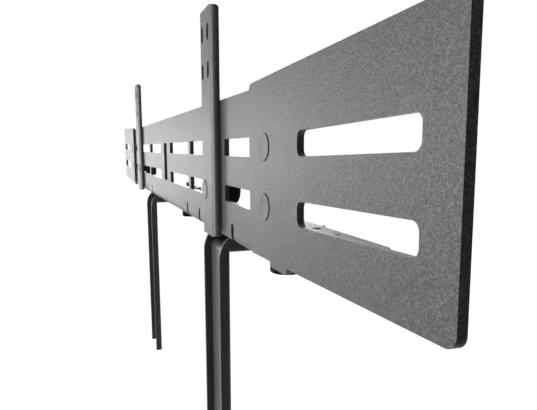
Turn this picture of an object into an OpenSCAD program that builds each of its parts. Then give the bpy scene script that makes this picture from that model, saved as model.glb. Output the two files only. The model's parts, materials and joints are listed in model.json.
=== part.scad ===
// Soundbar bracket: a slotted steel plate that telescopes to both sides, two
// upright channels that bolt to the back of a television, and two channel arms
// that hang below to carry a soundbar.
// X runs along the plates, Y points away from the viewer, Z points up. The
// origin is the middle of the inner plate's slot pattern, on its front face.

/* [Plates] */
// Height of the inner and outer plates
plate_h = 85; // [75:1:110]
// Sheet thickness of the plates
plate_t = 3; // [2:0.5:4]
// Length of the inner plate
inner_len = 644; // [640:2:700]
// Length of each outer plate
outer_len = 150; // [140:1:180]
// Height of each outer plate
outer_h = 83; // [78:0.5:86]
// How far an outer plate's lower edge stands above the inner plate's
outer_lift = 4.4; // [0:0.2:6]
// Rise of the outer plates' ends, in degrees, that the studs' play allows
outer_rise = 1.75; // [0:0.25:2.5]
// Distance from the middle to the inner edge of an outer plate, pulled out
outer_start = 281; // [272:1:281]
// Corner radius of the plates
plate_corner_r = 4; // [1:0.5:8]
// Working gap between parts that slide on each other
slide_gap = 0.3; // [0.2:0.05:0.6]

/* [Slot rows] */
// Height of the slots in both rows
slot_h = 10; // [9:0.5:12]
// Drop of the upper slot row below the top edge
upper_row_drop = 28.5; // [26:0.5:32]
// Drop of the lower slot row below the top edge
lower_row_drop = 56; // [50:0.5:60]
// Corner radius of the slots in the inner plate
inner_slot_r = 1.5; // [0.5:0.5:4]
// Corner radius of the slots in the outer plates
outer_slot_r = 3; // [1:0.5:4]
// Length of each slot in the inner plate
inner_slot_len = 86; // [80:1:87]
// Start of the first inner slot, measured from the middle
first_slot_start = 28; // [24:1:30]
// Start of the second inner slot, measured from the middle
second_slot_start = 122; // [120:1:124]
// Start of the third inner slot, measured from the middle
third_slot_start = 223; // [218:1:225]
// Width of the tall slot in the middle
centre_slot_w = 18; // [10:1:24]
// Solid strip at each end of an outer plate's long slots
outer_slot_end = 15; // [10:1:20]
// Distance from an outer plate's inner edge to its long slots
outer_slot_inset = 58.5; // [50:0.5:62]

/* [Lower flange] */
// Outside radius of the bend along the inner plate's lower edge
bend_r = 5; // [4:0.5:8]
// Depth of the deep flange behind the plate
flange_depth = 70; // [66:1:74]
// Depth of the short lips
lip_depth = 14; // [12:1:20]
// Width of the relief notches in the bend
notch_w = 5; // [3:0.5:6]
// Height of the relief notches above the lower edge
notch_h = 12; // [10:0.5:15]
// Distance from the middle to the first relief notch
first_notch = 106.8; // [100:0.1:110]
// Distance from the middle to the second relief notch
second_notch = 150.8; // [146:0.1:151]
// Distance from the middle to the third relief notch
third_notch = 238.1; // [232:0.1:242]
// Distance from the middle to the outer end of the deep flange
flange_end = 297; // [290:1:310]
// Corner radius of the deep flange
flange_corner_r = 6; // [2:0.5:10]
// Diameter of the holes in the deep flange
flange_hole_d = 7; // [6.6:0.2:8]
// Number of holes in each deep flange
flange_hole_count = 5; // [3:1:5]
// Spacing of the holes in the deep flange
flange_hole_pitch = 25; // [20:1:28]

/* [Uprights] */
// Distance between the centres of the uprights
upright_spacing = 400; // [380:2:400]
// Height of each upright
upright_h = 141; // [130:1:160]
// Width of each upright
upright_w = 30; // [28:1:36]
// Depth of each upright channel
upright_depth = 5.2; // [5:0.1:8]
// Sheet thickness of the uprights
upright_t = 2.5; // [2:0.1:3]
// Outside radius of the long bends
upright_bend_r = 4; // [3.5:0.1:5]
// Radius of the corners at the ends of the uprights
upright_corner_r = 3; // [1:0.5:5]
// Width of the screw slots
screw_slot_w = 4.5; // [4.5:0.1:6]
// Length of the screw slots
screw_slot_len = 10; // [8:0.5:12]
// Spacing between the two columns of screw slots
slot_column_gap = 14; // [12:0.5:16]
// Spacing between the two rows of screw slots
slot_row_gap = 22.5; // [16:0.5:26]
// Drop of the upper screw slots below the top of the upright
slot_top_drop = 14.3; // [12:0.1:20]

/* [Arms] */
// Distance between the centres of the arms
arm_spacing = 344; // [340:2:350]
// Width of each arm channel
arm_w = 46; // [40:1:50]
// Sheet thickness of the arms
arm_t = 2.5; // [2:0.1:3]
// Depth of the hanging part of the channel
drop_depth = 8; // [7:0.5:12]
// Depth of the level part of the channel
level_depth = 15; // [12:0.5:20]
// How far the arm hangs below the inner plate
arm_drop = 220; // [180:1:300]
// Gap from the back of the inner plate to the front of the arm
arm_setback = 0.3; // [0:0.1:2]
// Radius of the arm's large upper front corner
arm_corner_r = 20; // [15:1:21]
// Radius of the arm's inner corner bend
arm_inner_r = 3; // [2.6:0.1:5]
// Outside radius of the long bends of the arm
arm_bend_r = 3; // [2.6:0.1:4]
// Overhang of the arm behind the bolt
arm_tail = 20; // [16:1:26]
// Length of the bolt slot in the level part
arm_slot_len = 26; // [18:1:30]
// Width of the soundbar slots near the lower end
bar_slot_w = 6.5; // [5:0.5:8]
// Length of the soundbar slots
bar_slot_len = 20; // [12:1:24]
// Spacing of the soundbar slots
bar_slot_pitch = 32; // [28:1:40]
// Distance from the lower end to the lowest soundbar slot
bar_slot_inset = 22; // [18:1:30]

/* [Fasteners] */
// Thread diameter of the studs and bolts
thread_d = 6; // [5:0.5:6]
// Diameter of the flush stud heads
stud_head_d = 13; // [11:0.5:14]
// Thickness of the flush stud heads
stud_head_t = 1.6; // [1:0.1:1.8]
// Diameter of the collar that locates a stud in its slot
stud_collar_d = 9; // [8:0.1:9]
// Distance from an outer plate's inner edge to its studs
outer_stud_inset = 21; // [18:0.5:24]
// Offset of an upright's stud from the upright's centre, towards the middle
upright_stud_offset = 7; // [0:0.5:8]
// Outer diameter of the washers
washer_d = 16; // [14:0.5:18]
// Thickness of the washers
washer_t = 1.5; // [1:0.1:2]
// Width across flats of the nuts and bolt heads
hex_af = 10; // [8:0.5:10]
// Thickness of the nuts
nut_t = 5; // [4:0.5:6]
// Thickness of the bolt heads
bolt_head_t = 4; // [3:0.5:5]
// Thread that stands past a nut
thread_end = 2; // [1:0.5:4]

/* [Knobs] */
// Diameter of the knobs on the uprights
upright_knob_d = 20; // [18:1:22]
// Grip thickness of the knobs on the uprights
upright_knob_t = 7; // [5:0.5:9]
// Diameter of the knobs under the arms
arm_knob_d = 24; // [20:1:28]
// Grip thickness of the knobs under the arms
arm_knob_t = 16; // [12:1:20]
// Diameter of the knob collars
knob_collar_d = 14; // [12:0.5:16]
// Length of the knob collars
knob_collar_t = 5; // [3:0.5:8]
// Number of finger grooves round a knob
groove_count = 12; // [8:1:16]
// Radius of the finger grooves
groove_r = 1.6; // [1:0.1:1.8]
// Depth of the finger grooves
groove_depth = 0.8; // [0.4:0.1:1]
// Outer diameter of the threaded metal inserts in the knobs
insert_d = 9; // [8:0.5:10]

/* [Hidden] */
$fn = 48;

steel = [0.23, 0.23, 0.24];
zinc = [0.6, 0.6, 0.62];
plastic = [0.07, 0.07, 0.075];

plate_front = 0;
plate_back = plate_t;
outer_back = plate_front - slide_gap;
upright_back = plate_front - slide_gap;
upright_front = upright_back - upright_depth;
washer_front = plate_back + slide_gap;
washer_back = washer_front + washer_t;
flange_top = -plate_h + plate_t;
arm_front = plate_back + arm_setback;
arm_top = -plate_h;
level_bottom = arm_top - level_depth;
bolt_y = plate_front + flange_depth - washer_d / 2 - 0.5;
arm_rear = bolt_y + arm_tail;
origin_drop = (upper_row_drop + lower_row_drop) / 2;
stud_x = outer_start + outer_stud_inset;
shaft_gap = 0.05;
cut = 1;

// A rectangle from a to b with rounded corners
module rounded_rect(a, b, r) {
    hull_w = b[0] - a[0];
    hull_h = b[1] - a[1];
    translate([a[0] + r, a[1]]) square([hull_w - 2 * r, hull_h]);
    translate([a[0], a[1] + r]) square([hull_w, hull_h - 2 * r]);
    for (x = [a[0] + r, b[0] - r], y = [a[1] + r, b[1] - r])
        translate([x, y]) circle(r = r);
}

// Turns a flat outline in X and Z into a sheet that starts at y and runs back
module sheet(y, t) {
    translate([0, y + t, 0]) rotate([90, 0, 0]) linear_extrude(t) children();
}

// Repeats a shape mirrored to both sides of the middle
module both_sides() {
    children();
    mirror([1, 0, 0]) children();
}

// A pair of slots, one in each row
module slot_rows(x0, len, r) {
    for (drop = [upper_row_drop, lower_row_drop])
        rounded_rect([x0, -drop - slot_h / 2], [x0 + len, -drop + slot_h / 2], r);
}

// Relief notch in the lower edge, round at its top
module notch(x) {
    translate([x, -plate_h + notch_h - notch_w / 2]) circle(d = notch_w);
    translate([x - notch_w / 2, -plate_h - cut])
        square([notch_w, notch_h - notch_w / 2 + cut]);
}

module inner_outline() {
    difference() {
        rounded_rect([-inner_len / 2, -plate_h], [inner_len / 2, 0], plate_corner_r);
        both_sides() {
            for (x = [first_slot_start, second_slot_start, third_slot_start])
                slot_rows(x, inner_slot_len, inner_slot_r);
            for (x = [first_notch, second_notch, third_notch]) notch(x);
            translate([flange_end, -plate_h - cut]) square([notch_w, bend_r + 2 * cut]);
        }
        rounded_rect([-centre_slot_w / 2, -lower_row_drop - slot_h / 2],
            [centre_slot_w / 2, -upper_row_drop + slot_h / 2], inner_slot_r);
    }
}

// The bend and flange between x0 and x1, from the flat sheet backwards
module flange(x0, x1, depth) {
    translate([x0, plate_front + bend_r, -plate_h + bend_r])
        rotate([90, 0, 90])
            linear_extrude(x1 - x0)
                intersection() {
                    difference() {
                        circle(r = bend_r);
                        circle(r = bend_r - plate_t);
                    }
                    translate([-bend_r, -bend_r]) square(bend_r);
                }
    translate([x0, plate_front + bend_r, -plate_h])
        cube([x1 - x0, depth - bend_r, plate_t]);
}

// Rounds the two rear corners of the deep flange
module flange_corners(x0, x1) {
    for (side = [[x0, 1], [x1, -1]])
        translate([side[0], plate_front + flange_depth, -plate_h - cut])
            linear_extrude(plate_t + 2 * cut)
                difference() {
                    translate([side[1] * flange_corner_r / 2 - (flange_corner_r / 2 + cut / 2),
                        -flange_corner_r]) square([flange_corner_r + cut, flange_corner_r + cut]);
                    translate([side[1] * flange_corner_r, -flange_corner_r])
                        circle(r = flange_corner_r);
                }
}

module inner_plate() {
    half_notch = notch_w / 2;
    deep_start = second_notch + half_notch;
    color(steel) difference() {
        union() {
            sheet(plate_front, plate_t)
                intersection() {
                    inner_outline();
                    union() {
                        translate([-inner_len / 2, -plate_h + bend_r])
                            square([inner_len, plate_h - bend_r]);
                        both_sides() translate([flange_end + notch_w, -plate_h])
                            square([inner_len / 2 - flange_end - notch_w, plate_h / 2]);
                    }
                }
            flange(-first_notch + half_notch, first_notch - half_notch, lip_depth);
            both_sides() {
                flange(first_notch + half_notch, second_notch - half_notch, lip_depth);
                flange(deep_start, flange_end, flange_depth);
            }
        }
        both_sides() {
            flange_corners(deep_start, flange_end);
            // the third notch only opens the bend, so the flange stays whole behind it
            translate([third_notch - half_notch, plate_front - cut, -plate_h - cut])
                cube([notch_w, bend_r + plate_t + cut, bend_r + 2 * cut]);
            for (i = [0:flange_hole_count - 1])
                translate([arm_spacing / 2 + i * flange_hole_pitch, bolt_y, -plate_h - cut])
                    cylinder(d = flange_hole_d, h = plate_t + 2 * cut);
        }
    }
}

// Turns an outer plate and what it carries about the middle of its two studs
module risen() {
    translate([stud_x, 0, -origin_drop]) rotate([0, -outer_rise, 0])
        translate([-stud_x, 0, origin_drop]) children();
}

// Outer plate on the right, drawn where it stands when pulled out
module outer_plate() {
    outer_end = outer_start + outer_len;
    outer_low = outer_lift - plate_h;
    color(steel) risen() difference() {
        sheet(outer_back - plate_t, plate_t)
            difference() {
                rounded_rect([outer_start, outer_low], [outer_end, outer_low + outer_h],
                    plate_corner_r);
                slot_rows(outer_start + outer_slot_inset,
                    outer_len - outer_slot_inset - outer_slot_end, outer_slot_r);
            }
        for (drop = [upper_row_drop, lower_row_drop])
            translate([stud_x, 0, -drop]) stud_seat(outer_back - plate_t, plate_t);
    }
}

// Bored seat for a flush stud head and its shank, from the sheet's front face
module stud_seat(front, t) {
    translate([0, front - cut, 0]) rotate([-90, 0, 0])
        cylinder(d = stud_head_d + 2 * shaft_gap, h = stud_head_t + cut);
    translate([0, front, 0]) rotate([-90, 0, 0])
        cylinder(d = stud_collar_d + 2 * shaft_gap, h = t + cut);
}

// Flush stud: head, collar that fills the sheet and guides in the slot, thread
module stud(front, reach) {
    rotate([-90, 0, 0]) {
        translate([0, 0, front]) cylinder(d = stud_head_d, h = stud_head_t);
        translate([0, 0, front]) cylinder(d = stud_collar_d, h = plate_front + 2 - front);
        translate([0, 0, front]) cylinder(d = thread_d, h = reach - front - 0.5);
        translate([0, 0, reach - 0.5]) cylinder(d1 = thread_d, d2 = thread_d - 1, h = 0.5);
    }
}

module washer() {
    rotate([-90, 0, 0]) difference() {
        cylinder(d = washer_d, h = washer_t);
        translate([0, 0, -cut])
            cylinder(d = thread_d + 2 * shaft_gap, h = washer_t + 2 * cut);
    }
}

// Hexagon with chamfered corners, along +Z, with an optional bore
module hexagon(t, bore = 0) {
    corner_d = hex_af / cos(30);
    difference() {
        intersection() {
            cylinder(d = corner_d, h = t, $fn = 6);
            cylinder(d1 = corner_d + 2 * t, d2 = hex_af, h = t + (corner_d - hex_af) / 2);
        }
        if (bore > 0) translate([0, 0, -cut]) cylinder(d = bore, h = t + 2 * cut);
    }
}

// Knob along +Z: a collar, then a fluted grip with a domed face
module knob(d, t) {
    edge = 1.5;
    bore_d = insert_d + 2 * shaft_gap;
    difference() {
        rotate_extrude() difference() {
            union() {
                square([knob_collar_d / 2, knob_collar_t + edge]);
                translate([0, knob_collar_t]) {
                    square([d / 2 - edge, t]);
                    translate([0, edge]) square([d / 2, t - 2 * edge]);
                    for (y = [edge, t - edge])
                        translate([d / 2 - edge, y]) circle(r = edge);
                }
            }
            translate([0, -cut]) square([bore_d / 2, knob_collar_t + t / 2 + cut]);
        }
        for (i = [0:groove_count - 1])
            rotate(i * 360 / groove_count)
                translate([d / 2 + groove_r - groove_depth, 0, knob_collar_t - cut])
                    cylinder(r = groove_r, h = t + 2 * cut, $fn = 24);
    }
}

// Threaded metal insert that fills the knob's bore
module insert(t) {
    difference() {
        cylinder(d = insert_d, h = knob_collar_t + t / 2);
        translate([0, 0, -cut])
            cylinder(d = thread_d + 2 * shaft_gap, h = knob_collar_t + t / 2 + 2 * cut);
    }
}

module upright_shape() {
    r = upright_bend_r;
    half = upright_w / 2;
    inner_r = upright_bend_r - upright_t;
    bottom = -plate_h;
    intersection() {
        translate([0, 0, bottom]) linear_extrude(upright_h) difference() {
            union() {
                translate([-half + r, upright_front]) square([upright_w - 2 * r, upright_depth]);
                translate([-half, upright_front + r]) square([upright_w, upright_depth - r]);
                for (x = [-half + r, half - r])
                    translate([x, upright_front + r]) circle(r = r);
            }
            translate([-half + r, upright_front + upright_t])
                square([upright_w - 2 * r, upright_depth]);
            translate([-half + upright_t, upright_front + r])
                square([upright_w - 2 * upright_t, upright_depth]);
            for (x = [-half + r, half - r])
                translate([x, upright_front + r]) circle(r = inner_r);
        }
        sheet(upright_front - cut, upright_depth + 2 * cut)
            rounded_rect([-half, bottom], [half, bottom + upright_h], upright_corner_r);
        // the ends of the side flanges are rounded as well
        rotate([90, 0, 90]) translate([0, 0, -half]) linear_extrude(upright_w)
            rounded_rect([upright_front - 2 * upright_corner_r, bottom],
                [upright_back, bottom + upright_h], upright_corner_r);
    }
}

// Right upright, drawn at its place on the plate
module upright() {
    top = upright_h - plate_h;
    color(steel) translate([upright_spacing / 2, 0, 0]) difference() {
        upright_shape();
        translate([-upright_stud_offset, 0, -lower_row_drop])
            stud_seat(upright_front, upright_t);
        sheet(upright_front - cut, upright_t + 2 * cut)
            for (x = [-1, 1] * slot_column_gap / 2, row = [0, 1])
                translate([x, top - slot_top_drop - row * slot_row_gap]) screw_slot();
    }
}

module screw_slot() {
    straight = screw_slot_len - screw_slot_w;
    square([screw_slot_w, straight], center = true);
    for (y = [-1, 1] * straight / 2) translate([0, y]) circle(d = screw_slot_w);
}

// Side view of an arm: a hanging leg that turns back under the flange, drawn in
// Y and Z, with its front and top edges moved out by grow and its web in by wall
module arm_side(grow, wall) {
    back = arm_front + drop_depth - wall;
    under = level_bottom + wall;
    low = arm_top - arm_drop;
    bend = arm_inner_r + wall;
    r = arm_corner_r;
    difference() {
        union() {
            translate([arm_front - grow, low - grow])
                square([back - arm_front + grow, arm_drop + 2 * grow]);
            translate([arm_front - grow, under])
                square([arm_rear - arm_front + 2 * grow, level_depth - wall + grow]);
            translate([back, under - bend]) square(bend);
        }
        translate([back + bend, under - bend]) circle(r = bend);
        if (grow == 0) difference() {
            translate([arm_front - cut, arm_top - r]) square([r + cut, r + cut]);
            translate([arm_front + r, arm_top - r]) circle(r = r);
        }
    }
}

module arm() {
    half = arm_w / 2;
    r = arm_bend_r;
    back = arm_front + drop_depth;
    low = arm_top - arm_drop;
    color(steel) translate([arm_spacing / 2, 0, 0]) difference() {
        intersection() {
            rotate([90, 0, 90]) translate([0, 0, -half]) linear_extrude(arm_w) arm_side(0, 0);
            // rounds the long bends at the back of the leg and under the level part
            union() {
                translate([0, 0, low - cut]) linear_extrude(arm_drop + 2 * cut)
                    rounded_rect([-half, arm_front - 2 * r], [half, back], r);
                translate([0, arm_rear + cut, 0]) rotate([90, 0, 0])
                    linear_extrude(arm_rear - arm_front - r)
                        rounded_rect([-half, level_bottom], [half, arm_top + 2 * r], r);
            }
        }
        rotate([90, 0, 90]) translate([0, 0, -half + arm_t])
            linear_extrude(arm_w - 2 * arm_t) arm_side(cut, arm_t);
        // slot for the clamp bolt in the level part
        translate([0, bolt_y, level_bottom - cut]) linear_extrude(arm_t + 2 * cut)
            bolt_slot(flange_hole_d, arm_slot_len);
        // slots for the soundbar near the lower end
        sheet(back - arm_t - cut, arm_t + 2 * cut)
            for (i = [0, 1])
                translate([0, low + bar_slot_inset + i * bar_slot_pitch])
                    bolt_slot(bar_slot_w, bar_slot_len);
    }
}

// Slot with round ends, long in its second direction
module bolt_slot(w, len) {
    square([w, len - w], center = true);
    for (y = [-1, 1] * (len - w) / 2) translate([0, y]) circle(d = w);
}

// Places a shape at each of an outer plate's two studs
module at_outer_studs() {
    risen() for (drop = [upper_row_drop, lower_row_drop])
        translate([stud_x, 0, -drop]) children();
}

// Places a shape on the axis of the right upright's stud
module at_upright_stud() {
    translate([upright_spacing / 2 - upright_stud_offset, 0, -lower_row_drop]) children();
}

module outer_studs() {
    color(steel) at_outer_studs()
        stud(outer_back - plate_t, washer_back + nut_t + thread_end);
}

module outer_washers() {
    color(zinc) at_outer_studs() translate([0, washer_front, 0]) washer();
}

module outer_nuts() {
    color(zinc) at_outer_studs() translate([0, washer_back, 0]) rotate([-90, 0, 0])
        hexagon(nut_t, thread_d + 2 * shaft_gap);
}

module upright_stud() {
    color(steel) at_upright_stud()
        stud(upright_front, washer_back + knob_collar_t + upright_knob_t / 2 - 1);
}

module upright_washer() {
    color(zinc) at_upright_stud() translate([0, washer_front, 0]) washer();
}

module upright_knob() {
    color(plastic) at_upright_stud() translate([0, washer_back, 0]) rotate([-90, 0, 0])
        knob(upright_knob_d, upright_knob_t);
}

module upright_insert() {
    color(zinc) at_upright_stud() translate([0, washer_back, 0]) rotate([-90, 0, 0])
        insert(upright_knob_t);
}

// Clamp bolt: its head sits on the flange and its thread hangs into the knob
module arm_bolt() {
    tip = level_bottom - washer_t - knob_collar_t - arm_knob_t / 2 + 1;
    color(zinc) translate([arm_spacing / 2, bolt_y, 0]) {
        translate([0, 0, flange_top]) hexagon(bolt_head_t);
        translate([0, 0, tip]) cylinder(d = thread_d, h = flange_top - tip);
    }
}

module arm_washer() {
    color(zinc) translate([arm_spacing / 2, bolt_y, level_bottom - washer_t])
        rotate([90, 0, 0]) washer();
}

module arm_knob() {
    color(plastic) translate([arm_spacing / 2, bolt_y, level_bottom - washer_t])
        mirror([0, 0, 1]) knob(arm_knob_d, arm_knob_t);
}

module arm_insert() {
    color(zinc) translate([arm_spacing / 2, bolt_y, level_bottom - washer_t])
        mirror([0, 0, 1]) insert(arm_knob_t);
}

// Heights above are counted down from the inner plate's top edge, and this
// lifts a finished piece so that they are counted from the origin
module lifted() {
    translate([0, 0, origin_drop]) children();
}

// The left-hand pieces are the right-hand ones seen in a mirror
module left() {
    mirror([1, 0, 0]) children();
}

lifted() inner_plate();
lifted() outer_plate();  // outer_plate_right
lifted() left() outer_plate();  // outer_plate_left
lifted() upright();  // upright_right
lifted() left() upright();  // upright_left
lifted() arm();  // arm_right
lifted() left() arm();  // arm_left
lifted() outer_studs();  // outer_studs_right
lifted() left() outer_studs();  // outer_studs_left
lifted() outer_washers();  // outer_washers_right
lifted() left() outer_washers();  // outer_washers_left
lifted() outer_nuts();  // outer_nuts_right
lifted() left() outer_nuts();  // outer_nuts_left
lifted() upright_stud();  // upright_stud_right
lifted() left() upright_stud();  // upright_stud_left
lifted() upright_washer();  // upright_washer_right
lifted() left() upright_washer();  // upright_washer_left
lifted() upright_knob();  // upright_knob_right
lifted() left() upright_knob();  // upright_knob_left
lifted() upright_insert();  // upright_insert_right
lifted() left() upright_insert();  // upright_insert_left
lifted() arm_bolt();  // arm_bolt_right
lifted() left() arm_bolt();  // arm_bolt_left
lifted() arm_washer();  // arm_washer_right
lifted() left() arm_washer();  // arm_washer_left
lifted() arm_knob();  // arm_knob_right
lifted() left() arm_knob();  // arm_knob_left
lifted() arm_insert();  // arm_insert_right
lifted() left() arm_insert();  // arm_insert_left
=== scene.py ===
import bpy
import json
import math
from mathutils import Matrix, Vector


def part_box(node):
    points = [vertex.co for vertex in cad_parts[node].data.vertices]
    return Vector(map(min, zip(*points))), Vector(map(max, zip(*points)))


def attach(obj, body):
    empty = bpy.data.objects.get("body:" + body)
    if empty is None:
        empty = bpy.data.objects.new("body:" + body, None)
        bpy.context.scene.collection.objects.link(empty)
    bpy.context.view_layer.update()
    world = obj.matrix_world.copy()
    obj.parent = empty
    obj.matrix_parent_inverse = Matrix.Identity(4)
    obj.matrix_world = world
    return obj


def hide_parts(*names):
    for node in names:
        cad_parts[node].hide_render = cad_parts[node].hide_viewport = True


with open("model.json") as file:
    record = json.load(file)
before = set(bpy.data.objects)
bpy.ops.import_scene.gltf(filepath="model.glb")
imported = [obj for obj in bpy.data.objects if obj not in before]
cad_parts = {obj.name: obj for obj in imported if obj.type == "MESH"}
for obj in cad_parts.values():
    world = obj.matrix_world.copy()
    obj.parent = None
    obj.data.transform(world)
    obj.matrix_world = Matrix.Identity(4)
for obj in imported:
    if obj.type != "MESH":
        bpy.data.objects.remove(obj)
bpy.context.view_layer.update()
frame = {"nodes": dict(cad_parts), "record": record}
record = frame["record"]
mm = 0.001
print("frame loaded:", len(frame["nodes"]), "nodes")


# helpers for nodes, selection and finished pieces
class Wire:  # one socket of a node tree, so that shader maths reads as sums
    def __init__(self, tree, socket=None):
        self.tree = tree
        self.socket = socket

    def make(self, kind, settings=None, inputs=None, out=0):
        node = self.tree.nodes.new(kind)
        for key, value in (settings or {}).items():
            if key == "stops":
                while len(node.color_ramp.elements) < len(value):
                    node.color_ramp.elements.new(0.5)
                for stop, (place, shade) in zip(node.color_ramp.elements, value):
                    stop.position = place
                    stop.color = (shade, shade, shade, 1)
            else:
                setattr(node, key, value)
        for key, value in (inputs or {}).items():
            if isinstance(value, Wire):
                self.tree.links.new(value.socket, node.inputs[key])
            else:
                node.inputs[key].default_value = value
        return Wire(self.tree, node.outputs[out] if node.outputs else None)

    def sum(self, operation, first, second):
        return self.make("ShaderNodeMath", {"operation": operation}, {0: first, 1: second})

    def __add__(self, other):
        return self.sum("ADD", self, other)

    def __radd__(self, other):
        return self.sum("ADD", other, self)

    def __sub__(self, other):
        return self.sum("SUBTRACT", self, other)

    def __rsub__(self, other):
        return self.sum("SUBTRACT", other, self)

    def __mul__(self, other):
        return self.sum("MULTIPLY", self, other)

    def __rmul__(self, other):
        return self.sum("MULTIPLY", other, self)


def grey(level, warmth=0.0):
    return (level * (1 + warmth), level, level * (1 - warmth), 1)


def newMaterial(name):
    material = bpy.data.materials.new(name)
    material.use_nodes = True
    material.node_tree.nodes.clear()
    wire = Wire(material.node_tree)
    spot = wire.make("ShaderNodeTexCoord", out=3)  # Object coordinates
    return material, wire, spot


def closeMaterial(wire, shader):
    wire.make("ShaderNodeOutputMaterial", None, {"Surface": shader})


def noise(wire, spot, scale, detail=2.0, rough=0.5):
    return wire.make("ShaderNodeTexNoise", None,
                     {"Vector": spot, "Scale": scale, "Detail": detail, "Roughness": rough})


def blendColour(wire, factor, dark, light):
    return wire.make("ShaderNodeMix", {"data_type": "RGBA"}, {0: factor, 6: dark, 7: light}, out=2)


def pick(*objects):
    if bpy.context.object and bpy.context.object.mode != "OBJECT":
        bpy.ops.object.mode_set(mode="OBJECT")
    bpy.ops.object.select_all(action="DESELECT")
    for obj in objects:
        obj.select_set(True)
    bpy.context.view_layer.objects.active = objects[0]


def editOn(obj, chosen, kind="FACE"):  # opens edit mode with only the chosen faces or edges selected
    pick(obj)
    bpy.ops.object.mode_set(mode="EDIT")
    bpy.ops.mesh.select_mode(type=kind)
    bpy.ops.mesh.select_all(action="DESELECT")
    bpy.ops.object.mode_set(mode="OBJECT")
    mesh = obj.data
    if kind == "FACE":
        for face in mesh.polygons:
            face.select = chosen(face.center, face.normal)
    else:
        for edge in mesh.edges:
            ends = [mesh.vertices[i].co for i in edge.vertices]
            edge.select = chosen(*ends)
    bpy.ops.object.mode_set(mode="EDIT")


def editOff():
    bpy.ops.object.mode_set(mode="OBJECT")


def joined(pieces):
    pick(*pieces)
    if len(pieces) > 1:
        bpy.ops.object.join()
    return bpy.context.object


def finishPiece(obj, name, body, material, stands=()):
    pick(obj)
    bpy.ops.object.transform_apply(location=True, rotation=True, scale=True)
    bpy.ops.object.shade_smooth_by_angle(angle=math.radians(35))
    obj.name = name
    obj.data.materials.clear()
    obj.data.materials.append(material)
    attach(obj, body)
    if stands:
        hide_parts(*stands)
    return obj


# finishes
# the lightest and darkest colours here are a painted highlight on the grain's raised tops and painted
# shade in its hollows
coat = {"dark": 0.037, "light": 0.069, "paintedGlint": 0.19, "paintedGrainShade": 0.006, "roughness": 0.26, "mottle": 760,
        "grain": 2000, "peel": 800, "grainDepth": 0.00030, "specular": 0.5}


def powderCoat(name, lift=1.0):
    material, wire, spot = newMaterial(name)
    cloud = noise(wire, spot, 45, 3)
    mottle = noise(wire, spot, coat["mottle"], 3, 0.75)
    patch = wire.make("ShaderNodeValToRGB", {"stops": [(0.36, 0), (0.64, 1)]}, {0: mottle})
    grain = noise(wire, spot, coat["grain"], 2, 0.65)
    peel = noise(wire, spot, coat["peel"], 2)
    # painted highlight: lighter specks on the grain's raised tops, the high end of the same noise that
    # drives the bump
    paintedGlint = wire.make("ShaderNodeValToRGB", {"stops": [(0.54, 0), (0.66, 1)]}, {0: grain})
    # painted shade: near-black spots in the grain's hollows, the low end of the same noise that drives
    # the bump
    paintedGrainShade = wire.make("ShaderNodeValToRGB", {"stops": [(0.34, 1), (0.46, 0)]}, {0: grain})
    colour = blendColour(wire, 0.25 * cloud + 0.75 * patch, grey(coat["dark"] * lift),
                         grey(coat["light"] * lift))
    colour = blendColour(wire, paintedGlint * 0.5, colour, grey(coat["paintedGlint"] * lift))
    colour = blendColour(wire, paintedGrainShade * 0.8, colour, grey(coat["paintedGrainShade"] * lift))
    rough = coat["roughness"] + 0.10 * cloud + 0.08 * grain
    relief = 0.65 * grain + 0.35 * peel
    bump = wire.make("ShaderNodeBump", None,
                     {"Strength": 0.8, "Distance": coat["grainDepth"], "Height": relief})
    skin = wire.make("ShaderNodeBsdfPrincipled", None,
                     {"Base Color": colour, "Roughness": rough, "Normal": bump,
                      "Specular IOR Level": coat["specular"]})
    closeMaterial(wire, skin)
    return material


zinc = {"dark": 0.34, "light": 0.50, "roughness": 0.36}


def zincPlate():
    material, wire, spot = newMaterial("zincPlate")
    cloud = noise(wire, spot, 160, 4, 0.6)
    fine = noise(wire, spot, 2200, 2)
    colour = blendColour(wire, cloud, grey(zinc["dark"], -0.02), grey(zinc["light"], -0.015))
    rough = zinc["roughness"] + 0.14 * cloud
    bump = wire.make("ShaderNodeBump", None, {"Strength": 0.25, "Distance": 0.00004, "Height": fine})
    skin = wire.make("ShaderNodeBsdfPrincipled", None,
                     {"Base Color": colour, "Roughness": rough, "Metallic": 1.0, "Normal": bump})
    closeMaterial(wire, skin)
    return material


plastic = {"dark": 0.012, "light": 0.020, "roughness": 0.46, "grain": 1900}


def knobPlastic():
    material, wire, spot = newMaterial("knobPlastic")
    cloud = noise(wire, spot, 70, 2)
    grain = noise(wire, spot, plastic["grain"], 3, 0.6)
    colour = blendColour(wire, cloud, grey(plastic["dark"]), grey(plastic["light"]))
    rough = plastic["roughness"] + 0.12 * grain
    bump = wire.make("ShaderNodeBump", None, {"Strength": 0.35, "Distance": 0.00005, "Height": grain})
    skin = wire.make("ShaderNodeBsdfPrincipled", None,
                     {"Base Color": colour, "Roughness": rough, "Normal": bump})
    closeMaterial(wire, skin)
    return material


def insertBrass():
    material, wire, spot = newMaterial("insertBrass")
    cloud = noise(wire, spot, 300, 3)
    colour = blendColour(wire, cloud, (0.42, 0.28, 0.10, 1), (0.62, 0.45, 0.19, 1))
    skin = wire.make("ShaderNodeBsdfPrincipled", None,
                     {"Base Color": colour, "Roughness": 0.28 + 0.1 * cloud, "Metallic": 1.0})
    closeMaterial(wire, skin)
    return material


finishes = {
    "powder_coat": powderCoat("powderCoat"),
    "coated_stud": powderCoat("studCoat", 0.85),
    "zinc_plate": zincPlate(),
    "knob_plastic": knobPlastic(),
    "insert_brass": insertBrass(),
}
for entry in record["subparts"]:
    mesh = frame["nodes"][entry["node"]].data
    mesh.materials.clear()
    mesh.materials.append(finishes[entry["material_slot"]])
print("finishes made:", len(finishes))


# threaded rods and turned discs, shared by the fasteners
thread = {"radius": 2.98, "depth": 0.42, "pitch": 1.0, "steps": 24}


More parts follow.
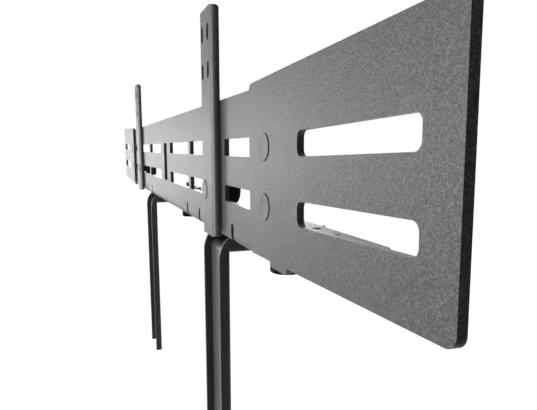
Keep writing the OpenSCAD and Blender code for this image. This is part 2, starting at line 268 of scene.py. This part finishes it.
def threadedRod(low, length):  # along +Z from low, in millimetres
    turns = max(1, int(length / thread["pitch"]) - 1)
    core = thread["radius"] - thread["depth"]
    bpy.ops.mesh.primitive_cylinder_add(vertices=32, radius=core * mm, depth=length * mm,
                                        location=(0, 0, (low + length / 2) * mm))
    rod = bpy.context.object
    editOn(rod, lambda a, b: abs(a.z - b.z) < 1e-6 and a.xy.length > 0.5 * core * mm, "EDGE")
    bpy.ops.mesh.bevel(offset=0.3 * mm, segments=1)
    editOff()
    bpy.ops.mesh.primitive_circle_add(vertices=3, radius=0.5 * thread["pitch"] * mm,
                                      rotation=(math.pi / 2, 0, 0))
    ridge = bpy.context.object
    bpy.ops.object.transform_apply(location=True, rotation=True, scale=True)
    profile = [(core - 0.05, -0.46), (thread["radius"], 0), (core - 0.05, 0.46)]
    for vertex, (out, up) in zip(ridge.data.vertices, profile):
        vertex.co = (out * mm, 0, (low + 0.6 * thread["pitch"] + up) * mm)
    screw = ridge.modifiers.new("helix", "SCREW")
    screw.screw_offset = thread["pitch"] * mm
    screw.iterations = turns
    screw.steps = thread["steps"]
    screw.render_steps = thread["steps"]
    bpy.ops.object.modifier_apply(modifier="helix")
    pick(ridge)
    bpy.ops.object.mode_set(mode="EDIT")
    bpy.ops.mesh.select_mode(type="VERT")
    bpy.ops.mesh.select_all(action="SELECT")
    bpy.ops.mesh.remove_doubles(threshold=1e-7)
    bpy.ops.mesh.fill_holes(sides=0)
    bpy.ops.mesh.select_all(action="SELECT")
    bpy.ops.mesh.normals_make_consistent(inside=False)
    editOff()
    return joined([rod, ridge])


def disc(radius, low, high, edge, sides=48):  # a turned disc along Z with eased rims
    bpy.ops.mesh.primitive_cylinder_add(vertices=sides, radius=radius * mm,
                                        depth=(high - low) * mm,
                                        location=(0, 0, (low + high) / 2 * mm))
    piece = bpy.context.object
    bpy.ops.object.transform_apply(location=True, rotation=True, scale=True)
    editOn(piece, lambda a, b: abs(a.z - b.z) < 1e-6, "EDGE")
    bpy.ops.mesh.bevel(offset=edge * mm, segments=3)
    editOff()
    return piece


# pressed studs of the outer plates and uprights
stud = {"seatRadius": 6.5, "headRadius": 6.3, "headDepth": 1.6, "headEase": 0.1, "proud": 0.4,
        "rim": 0.7, "dish": 0.12, "collarRadius": 4.5, "collarEase": 0.3, "bite": 0.2,
        "collarOuter": 5.3, "collarUpright": 7.5}  # collars run on into the inner plate's slots


def pressedStud(collar, length):
    head = disc(stud["headRadius"], -stud["proud"], stud["headDepth"], stud["headEase"], 64)
    editOn(head, lambda middle, normal: normal.z < -0.99)
    bpy.ops.mesh.inset(thickness=stud["rim"] * mm)
    bpy.ops.transform.translate(value=(0, 0, stud["dish"] * mm))
    editOff()
    ring = disc(stud["collarRadius"], stud["headDepth"] - 0.1, collar, stud["collarEase"])
    rod = threadedRod(collar - stud["bite"], length - collar + stud["bite"])
    return joined([head, ring, rod])


def placeStuds():
    for side in ("right", "left"):
        low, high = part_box("outer_studs_" + side)
        inset = stud["seatRadius"] * mm
        near, far = low.x + inset, high.x - inset
        if side == "left":
            near, far = far, near
        pair = []
        for x, z in ((near, high.z - inset), (far, low.z + inset)):
            piece = pressedStud(stud["collarOuter"], (high.y - low.y) / mm)
            piece.rotation_euler = (-math.pi / 2, 0, 0)
            piece.location = (x, low.y, z)
            pair.append(piece)
        for piece in pair:
            pick(piece)
            bpy.ops.object.transform_apply(location=True, rotation=True, scale=True)
        finishPiece(joined(pair), "pressedStudsOuter_" + side, "outer_" + side,
                    finishes["coated_stud"], ["outer_studs_" + side])
        low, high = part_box("upright_stud_" + side)
        piece = pressedStud(stud["collarUpright"], (high.y - low.y) / mm)
        piece.rotation_euler = (-math.pi / 2, 0, 0)
        piece.location = ((low.x + high.x) / 2, low.y, (low.z + high.z) / 2)
        finishPiece(piece, "pressedStudUpright_" + side, "channel_" + side,
                    finishes["coated_stud"], ["upright_stud_" + side])
    print("pressed studs placed")


placeStuds()


# clamp bolts through flange and arm
bolt = {"acrossFlats": 10, "seat": 4, "head": 6.4, "crown": 0.55, "rim": 0.5, "dish": 0.2,
        "collarRadius": 8.8, "collar": 1.5, "collarEase": 0.4, "bite": 0.2}


def clampBolt(length):  # head upwards from z = 0, thread hanging below it
    corner = bolt["acrossFlats"] / 2 / math.cos(math.pi / 6)
    bpy.ops.mesh.primitive_cylinder_add(vertices=6, radius=corner * mm, depth=bolt["head"] * mm,
                                        location=(0, 0, bolt["head"] / 2 * mm))
    head = bpy.context.object
    bpy.ops.object.transform_apply(location=True, rotation=True, scale=True)
    editOn(head, lambda a, b: abs(a.z - b.z) < 1e-6 and a.z > 0.5 * bolt["head"] * mm, "EDGE")
    bpy.ops.mesh.bevel(offset=bolt["crown"] * mm, segments=4)
    editOff()
    editOn(head, lambda middle, normal: normal.z > 0.99)
    bpy.ops.mesh.inset(thickness=bolt["rim"] * mm)
    bpy.ops.transform.translate(value=(0, 0, -bolt["dish"] * mm))
    editOff()
    collar = disc(bolt["collarRadius"], 0, bolt["collar"], bolt["collarEase"])
    rod = threadedRod(-length, length + bolt["bite"])
    return joined([head, collar, rod])


def placeBolts():
    for side in ("right", "left"):
        low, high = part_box("arm_bolt_" + side)
        length = (high.z - low.z) / mm - bolt["seat"]  # seat is the height of the solid's own head
        piece = clampBolt(length)
        piece.location = ((low.x + high.x) / 2, (low.y + high.y) / 2, high.z - bolt["seat"] * mm)
        finishPiece(piece, "clampBolt_" + side, "frame", finishes["coated_stud"],
                    ["arm_bolt_" + side])
    print("clamp bolts placed")


placeBolts()


# dished caps on the clamp knobs
cap = {"share": 0.3, "sunk": 0.6, "proud": 0.5, "ease": 0.3, "dish": 0.35, "rim": 0.22, "ring": 0.1}


def knobCap(radius):
    piece = disc(radius, -cap["sunk"], cap["proud"], cap["ease"], 64)
    editOn(piece, lambda middle, normal: normal.z > 0.99)
    bpy.ops.mesh.inset(thickness=cap["rim"] * radius * mm)
    bpy.ops.transform.translate(value=(0, 0, -cap["dish"] * mm))
    bpy.ops.mesh.inset(thickness=cap["ring"] * radius * mm)
    editOff()
    return piece


def placeCaps():
    for side in ("right", "left"):
        low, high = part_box("upright_knob_" + side)
        piece = knobCap(cap["share"] * (high.x - low.x) / mm)
        piece.rotation_euler = (-math.pi / 2, 0, 0)
        piece.location = ((low.x + high.x) / 2, high.y, (low.z + high.z) / 2)
        finishPiece(piece, "uprightKnobCap_" + side, "channel_clamp_" + side,
                    finishes["knob_plastic"])
        low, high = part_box("arm_knob_" + side)
        piece = knobCap(cap["share"] * (high.x - low.x) / mm)
        piece.rotation_euler = (math.pi, 0, 0)
        piece.location = ((low.x + high.x) / 2, (low.y + high.y) / 2, low.z)
        finishPiece(piece, "armKnobCap_" + side, "arm_clamp_" + side,
                    finishes["knob_plastic"])
    print("knob caps placed")


placeCaps()


# floor, light and camera
room = {"floorHeight": -0.75, "floorSize": 40, "ambient": 0.15, "away": 0.85, "behind": 0.02}
lamps = {  # place, what it looks at, diameter, watts
    "keyLight": ((-0.2, -1.9, 0.1), (0, 0, -0.05), 1.0, 27),
    "sideLight": ((-5.2, -1.9, -0.1), (0, 0, 0), 1.2, 22),
    "backLight": ((-4.2, 1.1, 1.0), (0, 0, 0), 1.8, 66),
    "stripLight": ((0.45, -2.6, -0.2), (0.2, 0, 0), 0.5, 30),
    "fillLight": ((-0.5, 2.6, 1.3), (0, 0, -0.05), 1.8, 85),
}


def buildFloor():
    bpy.ops.mesh.primitive_plane_add(size=room["floorSize"], location=(0, 0, room["floorHeight"]))
    floor = bpy.context.object
    floor.name = "floor"
    material = bpy.data.materials.new("paleFloor")
    material.use_nodes = True
    material.node_tree.nodes.clear()
    wire = Wire(material.node_tree)
    matt = wire.make("ShaderNodeBsdfDiffuse", None, {"Color": grey(0.82)})
    rays = wire.make("ShaderNodeLightPath").socket.node.outputs
    camera = Wire(wire.tree, rays["Is Camera Ray"])
    glossy = Wire(wire.tree, rays["Is Glossy Ray"]) + Wire(wire.tree, rays["Is Transmission Ray"])
    spot = wire.make("ShaderNodeTexCoord", out=3)
    across = wire.make("ShaderNodeSeparateXYZ", None, {0: spot})
    card = wire.make("ShaderNodeValToRGB", {"stops": [(0.49, room["away"]), (0.53, room["behind"])]},
                     {0: across * 0.05 + 0.5})  # a dark card lies to the right of the object
    glow = wire.make("ShaderNodeEmission", None, {"Color": grey(1.0), "Strength": 1.1})
    mirrored = wire.make("ShaderNodeEmission", None, {"Color": card, "Strength": 1.0})
    shown = wire.make("ShaderNodeMixShader", None, {0: glossy, 1: matt, 2: mirrored})
    mixed = wire.make("ShaderNodeMixShader", None, {0: 0.9 * camera, 1: shown, 2: glow})
    closeMaterial(wire, mixed)
    floor.data.materials.append(material)


def buildWorld():
    world = bpy.data.worlds.new("studio")
    bpy.context.scene.world = world
    world.use_nodes = True
    world.node_tree.nodes.clear()
    wire = Wire(world.node_tree)
    path = wire.make("ShaderNodeLightPath")
    rays = path.socket.node.outputs
    camera = Wire(wire.tree, rays["Is Camera Ray"])
    glossy = Wire(wire.tree, rays["Is Glossy Ray"]) + Wire(wire.tree, rays["Is Transmission Ray"])
    way = wire.make("ShaderNodeTexCoord", out=0)
    across = wire.make("ShaderNodeSeparateXYZ", None, {0: way})
    shade = wire.make("ShaderNodeValToRGB", {"stops": [(0.14, room["away"]), (0.42, room["behind"])]},
                      {0: across * 0.5 + 0.5})  # gloss sees white to the left, dark to the right
    ambient = wire.make("ShaderNodeBackground", None, {"Color": grey(1.0), "Strength": room["ambient"]})
    mirrored = wire.make("ShaderNodeBackground", None, {"Color": shade, "Strength": 1.0})
    white = wire.make("ShaderNodeBackground", None, {"Color": grey(1.0), "Strength": 1.0})
    mixed = wire.make("ShaderNodeMixShader", None, {0: glossy, 1: ambient, 2: mirrored})
    mixed = wire.make("ShaderNodeMixShader", None, {0: camera, 1: mixed, 2: white})
    wire.make("ShaderNodeOutputWorld", None, {"Surface": mixed})


def softLight(name, place, target, size, watts):
    data = bpy.data.lights.new(name, "AREA")
    data.shape = "DISK"
    data.size = size
    data.energy = watts
    lamp = bpy.data.objects.new(name, data)
    bpy.context.scene.collection.objects.link(lamp)
    lamp.location = place
    lamp.visible_camera = False
    aim = Vector(target) - Vector(place)
    lamp.rotation_euler = aim.to_track_quat("-Z", "Y").to_euler()


view = {"place": (0.5307, -0.0864, 0.01465), "focal": 518.8, "centre": (198.0, 237.0),
        "yaw": 12.6, "pitch": 9.9, "roll": -1.23, "width": 537, "height": 410}


def buildCamera():
    yaw, pitch, roll = (math.radians(view[key]) for key in ("yaw", "pitch", "roll"))
    ahead = Vector((-math.cos(pitch) * math.cos(yaw), math.cos(pitch) * math.sin(yaw), -math.sin(pitch)))
    right = ahead.cross(Vector((0, 0, 1))).normalized()
    up = right.cross(ahead)
    turnedRight = right * math.cos(roll) + up * math.sin(roll)
    turnedUp = up * math.cos(roll) - right * math.sin(roll)
    data = bpy.data.cameras.new("photoCamera")
    camera = bpy.data.objects.new("photoCamera", data)
    bpy.context.scene.collection.objects.link(camera)
    turn = Matrix((turnedRight, turnedUp, -ahead)).transposed()
    camera.matrix_world = Matrix.Translation(view["place"]) @ turn.to_4x4()
    data.sensor_fit = "HORIZONTAL"
    data.sensor_width = 36
    data.lens = view["focal"] / view["width"] * 36
    data.shift_x = (view["width"] / 2 - view["centre"][0]) / view["width"]
    data.shift_y = (view["centre"][1] - view["height"] / 2) / view["width"]
    data.clip_start = 0.01
    bpy.context.scene.camera = camera


buildFloor()
buildWorld()
for name, (place, target, size, watts) in lamps.items():
    softLight(name, place, target, size, watts)
buildCamera()
bpy.context.scene.view_settings.view_transform = "Standard"
print("floor, light and camera set")
